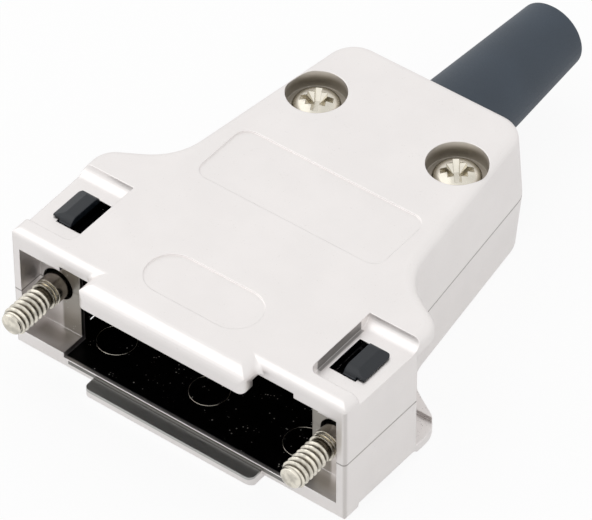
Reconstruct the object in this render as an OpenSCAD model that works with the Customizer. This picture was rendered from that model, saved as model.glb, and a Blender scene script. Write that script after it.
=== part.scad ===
// Two-piece die-cast hood for a 15-way rectangular connector, with a straight cable exit,
// two captive jackscrews and a snap latch in each ear.
// X runs across the connector, Y from the mating face to the cable, Z up.
// The origin is the middle of the mating face, on the parting plane of the two shells.

/* [Connector] */
// Distance between the two jackscrew axes
screw_spacing = 33.32; // [31:0.1:48]
// Height of the mouth that takes the connector's rear body
mouth_h = 12.04; // [11:0.1:13]
// Thickness of the connector flange held by the upper lip
flange_t = 1.15; // [0.8:0.05:1.3]

/* [Shells] */
// Length of the die-cast body
body_l = 41.4; // [38:0.2:60]
// Height of the two shells together
body_h = 15.2; // [14.6:0.1:20]
// Width of the body at its cable end, at the parting plane
tail_w = 22.9; // [20:0.1:28]
// How much narrower the cable end is at the top than at the parting plane
tail_draft = 1.5; // [0:0.1:2]
// Thickness of the walls round the wire space
wall = 1.4; // [1:0.1:2]
// Thickness of the outer wall of each ear
ear_wall = 1; // [0.8:0.1:1.5]
// Length of each ear, from the mating face back
ear_l = 10.9; // [10.6:0.1:14]
// Radius of the rounded top and bottom edges
edge_r = 0.85; // [0.4:0.05:1.2]
// Width of the upper lip
lip_w = 20.1; // [16:0.1:24]
// Reach of the upper lip in front of the mating face
lip_reach = 2.4; // [2.2:0.1:3]
// Width of the lower ledge
ledge_w = 20.2; // [16:0.1:24]
// Reach of the lower ledge in front of the mating face
ledge_reach = 1.75; // [1:0.05:2.5]

/* [Latches] */
// Length of the latch window along the hood
window_l = 4.76; // [4:0.05:5]
// Width of the latch window across the hood
window_w = 3.07; // [2.6:0.05:3.3]
// Distance that a latch slides inwards to unhook
latch_travel = 0.7; // [0.4:0.05:0.8]

/* [Fasteners] */
// Outer diameter of the jackscrew thread
thread_d = 2.845; // [2.5:0.01:3]
// Length of the jackscrew thread in front of the mating face
thread_reach = 4.4; // [3:0.1:8]
// Diameter of the smooth barrel of a jackscrew
barrel_d = 2.9; // [2.5:0.05:3.1]
// Diameter of the screws that close the shells
shell_screw_d = 2.5; // [2:0.1:3]
// Diameter of the heads of those screws
shell_head_d = 5; // [4:0.1:5.6]

/* [Cable entry] */
// Diameter of the bend relief boot where it leaves the shells
boot_d = 9.84; // [8:0.1:10.4]
// Diameter of the boot at its free end
boot_tip_d = 7.58; // [6.6:0.1:8]
// Length of boot outside the shells
boot_l = 19.5; // [12:0.5:40]
// Diameter of the hole for the cable
cable_d = 5.6; // [4:0.1:6]

/* [Hidden] */

$fn = 48;
eps = 0.02;            // overshoot of a cut past the face that it leaves through
arc_n = 8;             // straight steps in each rounded corner of an outline
half_h = body_h / 2;

// Clearances between pieces
run_fit = 0.05;        // radial, between a turning barrel and its bore
seat_gap = 0.05;       // between parts that sit in each other without moving
slide_gap = 0.15;      // round a latch that slides

// Ears, across the hood
axis_x = screw_spacing / 2;
ear_hw = axis_x + 3.17;                 // outside face
ear_out_x = ear_hw - ear_wall;          // inside face of the outer wall
ear_in_x = axis_x - 2.6;                // edge of the ear towards the mouth
mouth_hw = ear_in_x - 0.16;
ear_room_h = 5.45;                      // half height of the room inside an ear

// Ears, along the hood
front_wall_y = 2.83;
latch_room_y0 = 4.15;
latch_room_y1 = 9.2;
ridge_y = 2.05;                         // rear edge of the ridge in front of the pocket
pocket_floor_y0 = 2.2;
pocket_floor_y1 = 10.2;
pocket_y1 = 11.5;                       // upper edge of the scooped rear wall
pocket_floor_z = half_h - 1.1;

// Shoulders behind the ears, and the notch under them
hump_hw = ear_hw + 0.22;
hump_y = 14.13;
hump_r = 2.7;
waist_x = ear_in_x - 0.22;
waist_y = 17.72;
waist_r = 6.5;
tail_r = 3.1;
notch_z = 6;                            // half height of the notch beside the ear
notch_rear_z = 5.55;                    // and further back
notch_step_y = hump_y + 0.3;
notch_in_x = ear_in_x + 0.1;

// Lip
front_edge_r = 0.9;                     // round along the front of the top
lip_end_r = 1.5;                        // round along each end of the lip
lip_end_x = lip_w / 2;
lip_slot_z = mouth_h / 2 + 0.33;        // roof of the slot that takes the connector's flange

// Wire space
room_z = mouth_h / 2;
mouth_depth = latch_room_y1;
tail_hw = tail_w / 2;
rear_wall_t = 1.8;

// Closing screws
boss_x = tail_hw - tail_draft / 2 - 2.23;
boss_y = body_l - 8.52;
boss_r = 3.6;
bore_r = shell_head_d / 2 + 0.6;        // counterbore
bore_floor_z = half_h - 2;
shell_screw_r = shell_screw_d / 2;
shell_head_h = 1.75;
shell_screw_l = 9.2;                    // under the head

// Boot
boot_r = boot_d / 2;
boot_tip_r = boot_tip_d / 2;
boot_flange_r = boot_r + 1.3;
boot_flange_t = 1.4;
boot_hole_r = boot_r + seat_gap;
rear_wall_y = body_l - rear_wall_t;
boot_flange_y1 = rear_wall_y - seat_gap;
boot_flange_y0 = boot_flange_y1 - boot_flange_t;
rib_t = 0.9;
rib_y1 = boot_flange_y0 - seat_gap;

// Cable clamp
clamp_y = 25.4;
clamp_w = 4.6;
clamp_t = 1.6;
clamp_screw_x = cable_d / 2 + 3.6;
clamp_screw_r = 1.1;
clamp_head_r = 1.9;
clamp_pad_z = -1.2;                     // top of the two bosses that carry the clamp

// Latch
latch_in_x = ear_in_x + 0.69;           // inner face of the spine
latch_spine_w = 0.75;
window_x0 = ear_in_x + 0.67;
window_x1 = window_x0 + window_w;
window_y0 = 4.3;
window_y1 = window_y0 + window_l;
post_x0 = window_x0 + latch_travel + 0.77;
post_x1 = window_x1 - 0.2;
hook_x1 = window_x1 + latch_travel;
hook_z1 = pocket_floor_z + 0.65;
latch_y0 = window_y0 + slide_gap;
latch_y1 = window_y1 - slide_gap;
groove_r = 1.05;
groove_y0 = latch_y0 - slide_gap;
groove_y1 = latch_y1 + slide_gap;

// Jackscrew
thread_r = thread_d / 2;
barrel_r = barrel_d / 2;
thread_y1 = -0.05;                      // end of the full thread
neck_r = 1.15;
neck_y1 = 1;
wall_hole_r = barrel_r + 0.35;
jack_head_r = 2.1;
jack_head_t = 1;
jack_head_y0 = ear_l + 0.2;

metal = [0.80, 0.79, 0.77];
bright = [0.86, 0.85, 0.80];
nylon = [0.13, 0.15, 0.18];
rubber = [0.29, 0.33, 0.37];

// ---- outlines -------------------------------------------------------------------------

function unit(v) = v / norm(v);
function cross2(a, b) = a[0] * b[1] - a[1] * b[0];
function xy(p) = [p[0], p[1]];

// Points of the round at corner b, between its neighbours a and c. A corner is [x, y, radius].
function corner(a, b, c) =
  let (
    u = unit(xy(a) - xy(b)),
    v = unit(xy(c) - xy(b)),
    half = acos(u * v) / 2,
    r = b[2],
    centre = xy(b) + unit(u + v) * r / sin(half),
    p = xy(b) + u * r / tan(half),
    q = xy(b) + v * r / tan(half),
    a0 = atan2(p[1] - centre[1], p[0] - centre[0]),
    a1 = atan2(q[1] - centre[1], q[0] - centre[0]),
    turn = a1 - a0,
    sweep = turn > 180 ? turn - 360 : turn < -180 ? turn + 360 : turn
  )
  r < 0.01
    ? [xy(b)]
    : [for (i = [0:arc_n]) centre + r * [cos(a0 + sweep * i / arc_n), sin(a0 + sweep * i / arc_n)]];

function rounded(path) =
  let (n = len(path))
  [for (i = [0:n - 1]) each corner(path[(i + n - 1) % n], path[i], path[(i + 1) % n])];

// Moves every side of a counter-clockwise path inwards by d and keeps its rounds concentric.
function inset(path, d) =
  let (n = len(path))
  [
    for (i = [0:n - 1])
      let (
        a = unit(xy(path[i]) - xy(path[(i + n - 1) % n])),
        b = unit(xy(path[(i + 1) % n]) - xy(path[i])),
        na = [-a[1], a[0]],
        nb = [-b[1], b[0]],
        p = xy(path[i]) + d * (na + nb) / (1 + na * nb),
        r = path[i][2],
        side = cross2(a, b) > 0 ? -1 : 1
      )
      [p[0], p[1], r < 0.01 ? 0 : max(r + side * d, 0.02)]
  ];

function mirrored(path) = [for (i = [len(path) - 1:-1:0]) [-path[i][0], path[i][1], path[i][2]]];
function both_sides(path) = concat(path, mirrored(path));

// Plan of the body at height z above the parting plane.
function body_plan(z) =
  both_sides([
    [ear_hw, -1, 0],
    [hump_hw, hump_y, hump_r],
    [waist_x + 0.35 * (1 - z / half_h), waist_y, waist_r],
    [tail_hw - tail_draft / 2 * z / half_h, body_l, tail_r]
  ]);

// Stacks outlines with equal counts of points into one closed solid. The diagonals of its sides
// turn over in the second half of each outline, so that a symmetric outline stays symmetric.
module loft(rings) {
  n = len(rings[0]);
  m = len(rings);
  points = [for (ring = rings) each ring];
  sides = [
    for (k = [0:m - 2])
      for (i = [0:n - 1])
        let (
          j = (i + 1) % n,
          a = k * n + i,
          b = k * n + j,
          c = a + n,
          d = b + n
        )
        each i < n / 2 ? [[a, c, d], [a, d, b]] : [[a, c, b], [b, c, d]]
  ];
  bottom = [for (i = [0:n - 1]) i];
  top = [for (i = [n - 1:-1:0]) (m - 1) * n + i];
  polyhedron(points, concat(sides, [bottom, top]));
}

function ring(z, d) = [for (p = rounded(inset(body_plan(z), d))) [p[0], p[1], z]];

// Outer form of one shell: a fine break at the parting line, drafted sides and a rounded top
// edge. The loft runs past the parting plane, the mating face and the top, which cut it flat.
module body_form() {
  seam = 0.08;
  steps = 5;
  last = 90 * (steps - 1) / steps;
  over_z = edge_r * (1 - sin(last)) / 2;
  over_d = edge_r * cos(last) / 2;
  intersection() {
    loft(concat(
      [ring(-seam, 2 * seam), ring(seam, 0)],
      [
        for (i = [0:steps - 1])
          let (a = 90 * i / steps)
          ring(half_h - edge_r * (1 - sin(a)), edge_r * (1 - cos(a)))
      ],
      [ring(half_h + over_z, edge_r + over_d)]
    ));
    box([-hump_hw - 1, hump_hw + 1], [0, body_l + 1], [0, half_h]);
  }
}

// ---- tools ----------------------------------------------------------------------------

// Bar along X from x0 to x1 whose section is given as [y, z] points.
module bar_x(x0, x1, section) {
  translate([x0, 0, 0])
    rotate([90, 0, 90])
      linear_extrude(x1 - x0)
        polygon(section);
}

// Rod along Y.
module rod_y(x, z, y0, y1, r) {
  translate([x, y0, z])
    rotate([-90, 0, 0])
      cylinder(h = y1 - y0, r = r);
}

// Box given by its two ends on each axis.
module box(x, y, z) {
  translate([x[0], y[0], z[0]])
    cube([x[1] - x[0], y[1] - y[0], z[1] - z[0]]);
}

function arc(cy, cz, r, a0, a1, n = 8) =
  [for (i = [0:n]) let (a = a0 + (a1 - a0) * i / n) [cy + r * cos(a), cz + r * sin(a)]];

module pair() {
  children();
  mirror([1, 0, 0])
    children();
}

// ---- shells ---------------------------------------------------------------------------

// Rounds the front top edge of a shell.
module front_edge() {
  z = half_h - front_edge_r;
  bar_x(-hump_hw - 1, hump_hw + 1, concat(
    [[-1.5, half_h + 1], [-1.5, z - eps], [-eps, z - eps]],
    arc(front_edge_r, z, front_edge_r, 180, 90),
    [[front_edge_r, half_h + 1]]
  ));
}

// Rounds the upright front edge of an ear.
module ear_edge() {
  edge = 0.4;
  difference() {
    box([ear_hw - edge, ear_hw + 1], [-1, edge], [-1, half_h + 1]);
    translate([ear_hw - edge, edge, -2])
      cylinder(h = half_h + 4, r = edge);
  }
}

// Pocket over an ear: upright behind the front ridge, flat floor, scooped up at the back.
module pocket() {
  scoop_r = pocket_y1 - pocket_floor_y1;
  corner_r = 1.1;
  corner_y = ridge_y - 0.05;
  intersection() {
    bar_x(ear_in_x - 1, hump_hw + 1, concat(
      [[ridge_y, half_h + 1], [ridge_y, half_h - 0.05], [pocket_floor_y0 - 0.1, pocket_floor_z + 0.1],
       [pocket_floor_y0, pocket_floor_z], [pocket_floor_y1, pocket_floor_z]],
      arc(pocket_floor_y1, pocket_floor_z + scoop_r, scoop_r, -90, -12),
      [[pocket_y1, half_h + 1]]
    ));
    linear_extrude(half_h + 2)
      polygon(rounded([
        [ear_in_x, corner_y, corner_r],
        [hump_hw + 2, corner_y, 0],
        [hump_hw + 2, pocket_y1 + 1, 0],
        [ear_in_x, pocket_y1 + 1, 0]
      ]));
  }
}

module window() {
  box([window_x0, window_x1], [window_y0, window_y1], [ear_room_h - eps, pocket_floor_z + eps]);
}

// Rooms inside an ear: the recess in front, the latch room behind it and the holes for the
// jackscrew.
module ear_rooms() {
  box([mouth_hw - eps, ear_out_x], [-1, front_wall_y], [-1, ear_room_h]);
  box([mouth_hw - eps, ear_out_x], [latch_room_y0, latch_room_y1], [-1, ear_room_h]);
  rod_y(axis_x, 0, front_wall_y - eps, latch_room_y0 + eps, wall_hole_r);
  rod_y(axis_x, 0, latch_room_y1 - eps, ear_l + eps, barrel_r + run_fit);
}

// Notch between the two shoulder plates, open at the side and at the back.
module shoulder_notch() {
  translate([0, 0, -1])
    linear_extrude(1 + notch_rear_z)
      polygon([
        [notch_in_x, ear_l],
        [hump_hw + 2, ear_l],
        [hump_hw + 2, waist_y + 4],
        [waist_x + 0.35, waist_y + 4],
        [notch_in_x - 0.1, waist_y]
      ]);
  box([notch_in_x + 0.6, hump_hw + 2], [ear_l, notch_step_y], [-1, notch_z]);
}

// Mouth and wire space.
module wire_room() {
  room_front_hw = ear_in_x - wall - 0.1;
  room_tail_hw = tail_hw - tail_draft / 2 - wall;
  box([-mouth_hw, mouth_hw], [-1, mouth_depth], [-1, room_z]);
  translate([0, 0, -1])
    linear_extrude(1 + room_z)
      polygon(rounded(both_sides([
        [room_front_hw, mouth_depth - eps, 0],
        [room_front_hw, waist_y, 0],
        [room_tail_hw, rear_wall_y, tail_r - wall]
      ])));
}

// Collars in the wire space that stay solid: screw bosses and the rib that holds the boot.
module inner_walls() {
  difference() {
    intersection() {
      union() {
        pair()
          translate([boss_x, boss_y, 0])
            cylinder(h = room_z + 0.5, r = boss_r);
        box([-tail_hw, tail_hw], [rib_y1 - rib_t, rib_y1], [0, room_z + 0.5]);
      }
      translate([0, 0, -eps])
        linear_extrude(half_h)
          polygon(rounded(inset(body_plan(half_h), wall / 2)));
    }
    rod_y(0, 0, rib_y1 - rib_t - eps, rib_y1 + eps, boot_hole_r);
  }
}

module boot_seat() {
  rod_y(0, 0, rear_wall_y - eps, body_l + 1, boot_hole_r);
  rod_y(0, 0, rib_y1, rear_wall_y, boot_flange_r + seat_gap);
}

module shell_common() {
  difference() {
    body_form();
    front_edge();
    difference() {
      wire_room();
      inner_walls();
    }
    boot_seat();
    pair() {
      ear_rooms();
      ear_edge();
      pocket();
      window();
      shoulder_notch();
    }
  }
}

module slot_outline(l, w) {
  translate([-(l - w) / 2, 0])
    circle(d = w);
  translate([(l - w) / 2, 0])
    circle(d = w);
  square([l - w, w], center = true);
}

// Upper lip, which hooks over the flange of the connector.
module upper_lip() {
  tip_z = 5.1;
  front_r = 1.5;
  corner_r = 1;
  low_r = 0.7;
  difference() {
    intersection() {
      bar_x(-lip_end_x - 1, lip_end_x + 1, concat(
        [[2, lip_slot_z], [2, half_h]],
        arc(-lip_reach + front_r, half_h - front_r, front_r, 90, 180),
        [[-lip_reach, tip_z], [-flange_t, tip_z], [-flange_t, lip_slot_z]]
      ));
      translate([0, 3, 0])
        rotate([90, 0, 0])
          linear_extrude(lip_reach + 4)
            polygon(concat(
              [[-lip_end_x, tip_z - 1], [lip_end_x, tip_z - 1]],
              arc(lip_end_x - lip_end_r, half_h - lip_end_r, lip_end_r, 0, 90),
              arc(-lip_end_x + lip_end_r, half_h - lip_end_r, lip_end_r, 90, 180)
            ));
    }
    pair() {
      end_round(lip_end_x, -lip_reach, corner_r, tip_z - 1, half_h + 1);
      // Lower corners, rounded as seen from the front
      translate([0, 0, -half_h])
        rotate([90, 0, 0])
          end_round(lip_end_x, tip_z + half_h, low_r, -1, lip_reach + 1);
    }
  }
}

// Hollow rounding where each end of the lip meets the front of the frame. At height z the end of
// the lip stands at x and the front at y.
function root_ring(z) =
  let (
    up = max(z - half_h + lip_end_r, 0),
    x = lip_end_x - lip_end_r + sqrt(lip_end_r * lip_end_r - up * up),
    rise = max(z - half_h + front_edge_r, 0),
    y = front_edge_r - sqrt(front_edge_r * front_edge_r - rise * rise),
    r = 0.6 * min(1, (half_h - z) / 0.4)
  )
  [
    for (p = concat(
      [[x - 0.3, y + 0.3], [x - 0.3, y - r]],
      [for (i = [0:8]) let (a = 180 - 90 * i / 8) [x - eps / 2 + r + r * cos(a), y + eps / 2 - r + r * sin(a)]],
      [[x + r, y + 0.3]]
    ))
    [p[0], p[1], z]
  ];

module lip_root() {
  z0 = lip_slot_z + 0.03;
  z1 = half_h - 0.03;
  steps = 8;
  loft([for (i = [0:steps]) root_ring(z0 + (z1 - z0) * i / steps)]);
}

// Upright tool that rounds the end at +x, y of a bar that reaches to the front.
module end_round(x, y, r, z0, z1) {
  difference() {
    box([x - r, x + r], [y - r, y + r], [z0, z1]);
    translate([x - r, y + r, z0 - 1])
      cylinder(h = z1 - z0 + 2, r = r);
  }
}

module lower_ledge() {
  top_z = -room_z - 0.38;
  difference() {
    bar_x(-ledge_w / 2, ledge_w / 2, [
      [-ledge_reach, top_z],
      [0.5, top_z],
      [1.5, -half_h],
      [-ledge_reach + 0.6, -half_h + 0.05],
      [-ledge_reach, -half_h + 0.3]
    ]);
    pair()
      end_round(ledge_w / 2, -ledge_reach, 0.7, -half_h - 1, top_z + 1);
  }
}

module upper_shell() {
  mark_depth = 0.15;
  label_l = 22;
  label_w = 8;
  label_r = 1.5;
  label_y = body_l / 2;
  color(metal)
    difference() {
      union() {
        shell_common();
        upper_lip();
        pair()
          lip_root();
        // Block that fills the outer corner of the right ear's recess
        box([axis_x - 0.25, ear_out_x + 0.5], [0.4, front_wall_y + 0.5], [4.8, ear_room_h + 0.5]);
      }
      pair() {
        translate([boss_x, boss_y, bore_floor_z])
          cylinder(h = 3, r = bore_r);
        translate([boss_x, boss_y, -eps])
          cylinder(h = half_h, r = shell_screw_r + 0.15);
      }
      translate([0, 4.4, half_h - mark_depth])
        linear_extrude(1)
          slot_outline(13, 5.5);
      // Recess for a label
      translate([0, label_y, half_h - mark_depth])
        linear_extrude(1)
          polygon(rounded(both_sides([
            [label_l / 2, -label_w / 2, label_r],
            [label_l / 2, label_w / 2, label_r]
          ])));
    }
}

module lower_shell() {
  color(metal)
    difference() {
      union() {
        mirror([0, 0, 1])
          shell_common();
        lower_ledge();
        // Bosses that carry the cable clamp
        pair()
          translate([clamp_screw_x, clamp_y, -room_z - 0.5])
            cylinder(h = clamp_pad_z + room_z + 0.5, r = clamp_w / 2);
      }
      pair() {
        translate([boss_x, boss_y, bore_floor_z - shell_screw_l - 0.3])
          cylinder(h = body_h, r = shell_screw_r + run_fit);
        translate([clamp_screw_x, clamp_y, -room_z + 0.6])
          cylinder(h = room_z, r = clamp_screw_r + run_fit);
      }
    }
}

// ---- moving pieces --------------------------------------------------------------------

// Jackscrew, turned from one bar: domed thread, barrel, groove for the latch, slotted head.
module jackscrew() {
  dome = 0.5;
  slot_w = 0.6;
  color(bright)
    difference() {
      rotate([-90, 0, 0])
        rotate_extrude()
          polygon([
            [0, -thread_reach],
            [thread_r - dome, -thread_reach],
            [thread_r, -thread_reach + dome],
            [thread_r, thread_y1],
            [neck_r, thread_y1],
            [neck_r, neck_y1],
            [barrel_r, neck_y1],
            [barrel_r, groove_y0],
            [groove_r, groove_y0],
            [groove_r, groove_y1],
            [barrel_r, groove_y1],
            [barrel_r, jack_head_y0],
            [jack_head_r, jack_head_y0],
            [jack_head_r, jack_head_y0 + jack_head_t],
            [0, jack_head_y0 + jack_head_t]
          ]);
      box([-jack_head_r - 1, jack_head_r + 1],
        [jack_head_y0 + jack_head_t - 0.6, jack_head_y0 + jack_head_t + 1],
        [-slot_w / 2, slot_w / 2]);
    }
}

// Hook of a latch. Its top is flat towards the window and slopes down to the outer edge, and it
// is rounded down at the front and the back.
module latch_head() {
  foot_z = pocket_floor_z + slide_gap;
  crest_x = hook_x1 - 1.1;
  slope_drop = 0.42;
  front_r = 1.1;
  rear_r = 0.5;
  side_r = 0.45;
  intersection() {
    translate([0, latch_y1, 0])
      rotate([90, 0, 0])
        linear_extrude(latch_y1 - latch_y0)
          polygon([
            [post_x0, foot_z - 1],
            [post_x1, foot_z - 1],
            [post_x1, foot_z],
            [hook_x1, foot_z],
            [hook_x1, hook_z1 - slope_drop],
            [crest_x, hook_z1],
            [post_x0, hook_z1]
          ]);
    bar_x(post_x0 - 1, hook_x1 + 1, concat(
      [[latch_y0, foot_z - 2]],
      arc(latch_y0 + front_r, hook_z1 - front_r, front_r, 180, 90, 8),
      arc(latch_y1 - rear_r, hook_z1 - rear_r, rear_r, 90, 0, 5),
      [[latch_y1, foot_z - 2]]
    ));
    linear_extrude(half_h + 1)
      polygon(rounded([
        [post_x0, latch_y0, 0],
        [hook_x1, latch_y0, side_r],
        [hook_x1, latch_y1, side_r],
        [post_x0, latch_y1, 0]
      ]));
  }
}

// Latch of one ear: a fork whose slot straddles the jackscrew, with a hook through each window.
module latch() {
  spine_h = ear_room_h - slide_gap;
  slot_h = groove_r + 0.15;
  post_z = pocket_floor_z;
  color(nylon)
    difference() {
      union() {
        box([latch_in_x, post_x1], [latch_y0, latch_y1], [-spine_h, spine_h]);
        box([post_x0, post_x1], [latch_y0, latch_y1], [-post_z, post_z]);
        for (s = [0, 1])
          mirror([0, 0, s])
            latch_head();
      }
      box([latch_in_x + latch_spine_w, post_x1 + 1], [latch_y0 - 1, latch_y1 + 1],
        [-slot_h, slot_h]);
    }
}

// ---- fixed pieces ---------------------------------------------------------------------

module shell_screw() {
  color(bright)
    difference() {
      translate([0, 0, bore_floor_z])
        rotate_extrude()
          polygon(concat(
            [[0, -shell_screw_l], [shell_screw_r - 0.3, -shell_screw_l],
             [shell_screw_r, -shell_screw_l + 0.3], [shell_screw_r, 0],
             [shell_head_d / 2, 0], [shell_head_d / 2, shell_head_h - 0.9]],
            arc(shell_head_d / 2 - 0.9, shell_head_h - 0.9, 0.9, 20, 90, 4),
            [[0, shell_head_h]]
          ));
      for (a = [0, 90])
        rotate([0, 0, a])
          box([-1.5, 1.5], [-0.3, 0.3], [bore_floor_z + shell_head_h - 0.9, half_h + 1]);
    }
}

module bend_relief_boot() {
  boot_y1 = body_l + boot_l;
  color(rubber)
    rotate([-90, 0, 0])
      rotate_extrude()
        polygon([
          [cable_d / 2, boot_flange_y0],
          [boot_flange_r, boot_flange_y0],
          [boot_flange_r, boot_flange_y1],
          [boot_r, boot_flange_y1],
          [boot_r, body_l + 0.6],
          [boot_tip_r, boot_y1 - 0.2],
          [boot_tip_r - 0.2, boot_y1],
          [cable_d / 2, boot_y1]
        ]);
}

// Saddle that presses the cable onto the lower shell.
module cable_clamp() {
  foot_x = clamp_screw_x + clamp_w / 2;
  saddle_r = cable_d / 2 - 0.2;
  color(metal)
    difference() {
      union() {
        box([-foot_x, foot_x], [clamp_y - clamp_w / 2, clamp_y + clamp_w / 2],
          [clamp_pad_z, clamp_pad_z + clamp_t]);
        rod_y(0, clamp_pad_z, clamp_y - clamp_w / 2, clamp_y + clamp_w / 2, saddle_r + clamp_t);
      }
      box([-foot_x - 1, foot_x + 1], [clamp_y - clamp_w, clamp_y + clamp_w],
        [-half_h, clamp_pad_z]);
      rod_y(0, clamp_pad_z, clamp_y - clamp_w, clamp_y + clamp_w, saddle_r);
      pair()
        translate([clamp_screw_x, clamp_y, -half_h])
          cylinder(h = body_h, r = clamp_screw_r + 0.15);
    }
}

module clamp_screw() {
  z = clamp_pad_z + clamp_t;
  color(bright)
    difference() {
      union() {
        translate([0, 0, z])
          cylinder(h = 1.3, r = clamp_head_r);
        translate([0, 0, -room_z + 0.9])
          cylinder(h = z + room_z - 0.9 + eps, r = clamp_screw_r);
      }
      box([-clamp_head_r - 1, clamp_head_r + 1], [-0.3, 0.3], [z + 0.6, z + 3]);
    }
}

// ---- the hood -------------------------------------------------------------------------

upper_shell();
lower_shell();
translate([-axis_x, 0, 0]) jackscrew();  // jackscrew_left
translate([axis_x, 0, 0]) jackscrew();  // jackscrew_right
mirror([1, 0, 0]) latch();  // latch_left
latch();  // latch_right
translate([-boss_x, boss_y, 0]) shell_screw();  // shell_screw_left
translate([boss_x, boss_y, 0]) shell_screw();  // shell_screw_right
bend_relief_boot();
cable_clamp();
translate([-clamp_screw_x, clamp_y, 0]) clamp_screw();  // clamp_screw_left
translate([clamp_screw_x, clamp_y, 0]) clamp_screw();  // clamp_screw_right
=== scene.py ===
import math

import bmesh
import bpy
from bpy.props import FloatProperty, FloatVectorProperty, IntProperty, PointerProperty
from mathutils import Matrix, Vector


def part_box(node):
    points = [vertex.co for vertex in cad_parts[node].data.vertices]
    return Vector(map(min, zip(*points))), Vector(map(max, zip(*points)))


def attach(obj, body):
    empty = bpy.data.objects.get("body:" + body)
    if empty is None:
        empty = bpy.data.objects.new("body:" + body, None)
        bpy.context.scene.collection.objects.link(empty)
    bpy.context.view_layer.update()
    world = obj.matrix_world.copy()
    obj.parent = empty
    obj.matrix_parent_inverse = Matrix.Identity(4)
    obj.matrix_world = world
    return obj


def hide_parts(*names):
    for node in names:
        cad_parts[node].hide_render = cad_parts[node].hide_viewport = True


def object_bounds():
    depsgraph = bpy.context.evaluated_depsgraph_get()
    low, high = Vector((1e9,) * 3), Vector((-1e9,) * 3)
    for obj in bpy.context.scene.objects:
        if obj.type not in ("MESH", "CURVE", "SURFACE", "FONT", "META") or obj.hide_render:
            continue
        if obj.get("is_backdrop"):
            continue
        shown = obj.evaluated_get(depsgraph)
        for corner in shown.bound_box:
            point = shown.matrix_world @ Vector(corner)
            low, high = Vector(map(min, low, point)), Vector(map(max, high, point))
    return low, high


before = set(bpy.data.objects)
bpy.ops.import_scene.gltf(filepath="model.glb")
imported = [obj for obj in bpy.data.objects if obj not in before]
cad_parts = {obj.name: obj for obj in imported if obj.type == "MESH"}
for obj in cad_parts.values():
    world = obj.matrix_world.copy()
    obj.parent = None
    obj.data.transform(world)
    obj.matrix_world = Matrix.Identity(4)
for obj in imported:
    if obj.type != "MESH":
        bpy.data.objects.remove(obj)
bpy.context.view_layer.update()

bl_info = {
    "name": "Connector Hood",
    "version": (1, 0, 0),
    "blender": (4, 5, 0),
    "location": "3D View > Sidebar > Hood",
    "description": "Finishes a die-cast connector hood, its screws, latches and boot",
    "category": "Object",
}

MM = 0.001

# ---- sizes ------------------------------------------------------------------------------


class HoodScrewSizes(bpy.types.PropertyGroup):
    thread_length: FloatProperty(
        name="Thread length",
        description="Length of the thread with its domed end",
        default=4.8 * MM,
        unit="LENGTH",
    )
    thread_radius: FloatProperty(
        name="Thread radius",
        description="Radius over the crests of the jackscrew thread",
        default=1.42 * MM,
        unit="LENGTH",
    )
    pitch: FloatProperty(
        name="Thread pitch",
        description="Advance of the jackscrew thread in one turn",
        default=0.635 * MM,
        unit="LENGTH",
    )
    thread_depth: FloatProperty(
        name="Thread depth",
        description="Height of the thread over its root",
        default=0.29 * MM,
        unit="LENGTH",
    )
    ring_steps: IntProperty(
        name="Steps in a pitch",
        description="Rings of the mesh in one pitch of the thread",
        default=12,
        min=6,
    )
    round_steps: IntProperty(
        name="Steps in a turn",
        description="Sides of the turned parts",
        default=64,
        min=16,
    )


class HoodFinish(bpy.types.PropertyGroup):
    cast_colour: FloatVectorProperty(
        name="Cast metal",
        description="Colour of the nickel on the castings",
        subtype="COLOR",
        default=(0.83, 0.80, 0.787),
    )
    screw_colour: FloatVectorProperty(
        name="Screws",
        description="Colour of the nickel on the turned parts",
        subtype="COLOR",
        default=(0.74, 0.70, 0.61),
    )
    nylon_colour: FloatVectorProperty(
        name="Latches",
        description="Colour of the black nylon",
        subtype="COLOR",
        default=(0.006, 0.009, 0.013),
    )
    rubber_colour: FloatVectorProperty(
        name="Boot",
        description="Colour of the rubber boot",
        subtype="COLOR",
        default=(0.036, 0.051, 0.071),
    )
    edge_radius: FloatProperty(
        name="Edge break",
        description="Radius of the fine break on cast edges",
        default=0.14 * MM,
        unit="LENGTH",
    )


class HoodStage(bpy.types.PropertyGroup):
    azimuth: FloatProperty(
        name="Azimuth",
        description="Direction that the camera looks from, turned from the front to the right",
        default=math.radians(37.67),
        unit="ROTATION",
    )
    elevation: FloatProperty(
        name="Elevation",
        description="Height of the camera over the horizon",
        default=math.radians(43.796),
        unit="ROTATION",
    )
    roll: FloatProperty(
        name="Roll",
        description="Turn of the camera about its own axis",
        default=math.radians(-0.331),
        unit="ROTATION",
    )
    distance: FloatProperty(
        name="Distance",
        description="Distance from the camera to the middle of the mating face",
        default=482.14 * MM,
        unit="LENGTH",
    )
    aim: FloatVectorProperty(
        name="Aim",
        description="Shift of the camera to its right and upwards",
        size=2,
        default=(11.246 * MM, 10.807 * MM),
    )
    lens: FloatProperty(
        name="Lens",
        description="Focal length for a 36 mm wide sensor",
        default=312.47,
    )


# ---- node helpers -----------------------------------------------------------------------


def socket(node, name, value):
    """Sets an input of a node, by name, to a value or links a socket to it."""
    target = node.inputs[name]
    if isinstance(value, bpy.types.NodeSocket):
        node.id_data.links.new(value, target)
    else:
        target.default_value = value


def add(tree, kind, settings=None, **inputs):
    """Adds a node. Settings are attributes, and inputs are given by name with _ for a space."""
    node = tree.nodes.new(kind)
    for name, value in (settings or {}).items():
        setattr(node, name, value)
    for name, value in inputs.items():
        socket(node, name.replace("_", " "), value)
    return node


def calc(tree, operation, *values, clamp=False):
    """A Math node on the values, and its result."""
    node = tree.nodes.new("ShaderNodeMath")
    node.operation = operation
    node.use_clamp = clamp
    for target, value in zip(node.inputs, values):
        if isinstance(value, bpy.types.NodeSocket):
            tree.links.new(value, target)
        else:
            target.default_value = value
    return node.outputs[0]


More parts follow.
